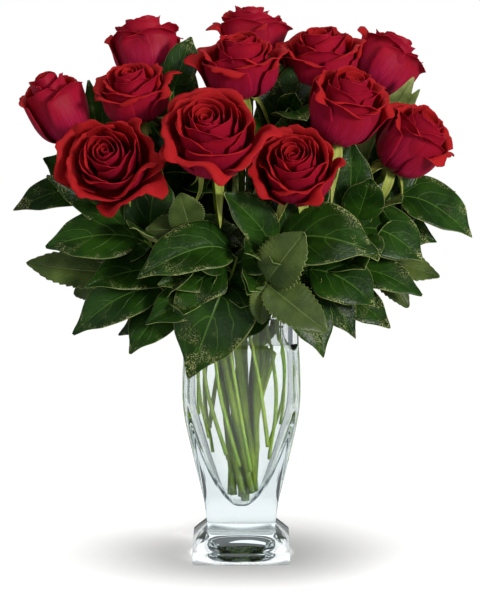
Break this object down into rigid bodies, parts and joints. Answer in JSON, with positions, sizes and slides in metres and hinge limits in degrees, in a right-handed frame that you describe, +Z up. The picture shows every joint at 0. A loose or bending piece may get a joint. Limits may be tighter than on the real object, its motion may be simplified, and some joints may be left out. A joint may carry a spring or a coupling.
{
  "type": "roses in a glass vase",
  "caption": "Long-stemmed red roses with broad salal and toothed rose leaves, arranged upright in a square, flared, thick-walled clear glass vase.",
  "frame": {"origin": "centre of the vase's foot, on the surface that it stands on", "axes": "+Z up along the vase's axis, -Y towards the arrangement's front, +X to its right seen from the front"},
  "size_m": [0.454, 0.3163, 0.5553],
  "materials": {
    "clear_glass": "clear pressed glass, fire-polished",
    "rose_petals": "velvety red petals, satin on their outer side",
    "rose_sepals": "pale yellow-green, satin",
    "rose_stem": "fresh green stem, satin",
    "salal_leaves": "dark glossy leaves with pale veins",
    "rose_leaves": "matt grey-green toothed leaflets"
  },
  "bodies": {
    "root": {"rose_01_bloom": "rose_petals", "rose_01_calyx": "rose_sepals", "rose_01_stem": "rose_stem", "rose_02_bloom": "rose_petals", "rose_02_calyx": "rose_sepals", "rose_02_stem": "rose_stem", "rose_03_bloom": "rose_petals", "rose_03_calyx": "rose_sepals", "rose_03_stem": "rose_stem", "rose_04_bloom": "rose_petals", "rose_04_calyx": "rose_sepals", "rose_04_stem": "rose_stem", "rose_05_bloom": "rose_petals", "rose_05_calyx": "rose_sepals", "rose_05_stem": "rose_stem", "rose_06_bloom": "rose_petals", "rose_06_calyx": "rose_sepals", "rose_06_stem": "rose_stem", "rose_07_bloom": "rose_petals", "rose_07_calyx": "rose_sepals", "rose_07_stem": "rose_stem", "rose_08_bloom": "rose_petals", "rose_08_calyx": "rose_sepals", "rose_08_stem": "rose_stem", "rose_09_bloom": "rose_petals", "rose_09_calyx": "rose_sepals", "rose_09_stem": "rose_stem", "rose_10_bloom": "rose_petals", "rose_10_calyx": "rose_sepals", "rose_10_stem": "rose_stem", "rose_11_bloom": "rose_petals", "rose_11_calyx": "rose_sepals", "rose_11_stem": "rose_stem", "rose_12_bloom": "rose_petals", "rose_12_calyx": "rose_sepals", "rose_12_stem": "rose_stem", "rose_leaf_back_left": "rose_leaves", "rose_leaf_back_right": "rose_leaves", "rose_leaf_centre": "rose_leaves", "rose_leaf_front": "rose_leaves", "rose_leaf_left": "rose_leaves", "rose_leaf_right": "rose_leaves", "salal_back": "salal_leaves", "salal_back_left": "salal_leaves", "salal_back_right": "salal_leaves", "salal_front_left": "salal_leaves", "salal_front_right": "salal_leaves", "salal_left_high": "salal_leaves", "salal_left_low": "salal_leaves", "salal_left_middle": "salal_leaves", "salal_right_back": "salal_leaves", "salal_right_front": "salal_leaves", "salal_right_high": "salal_leaves", "salal_right_middle": "salal_leaves", "salal_tall_left": "salal_leaves", "salal_tall_right": "salal_leaves", "vase": "clear_glass"}
  },
  "joints": []
}
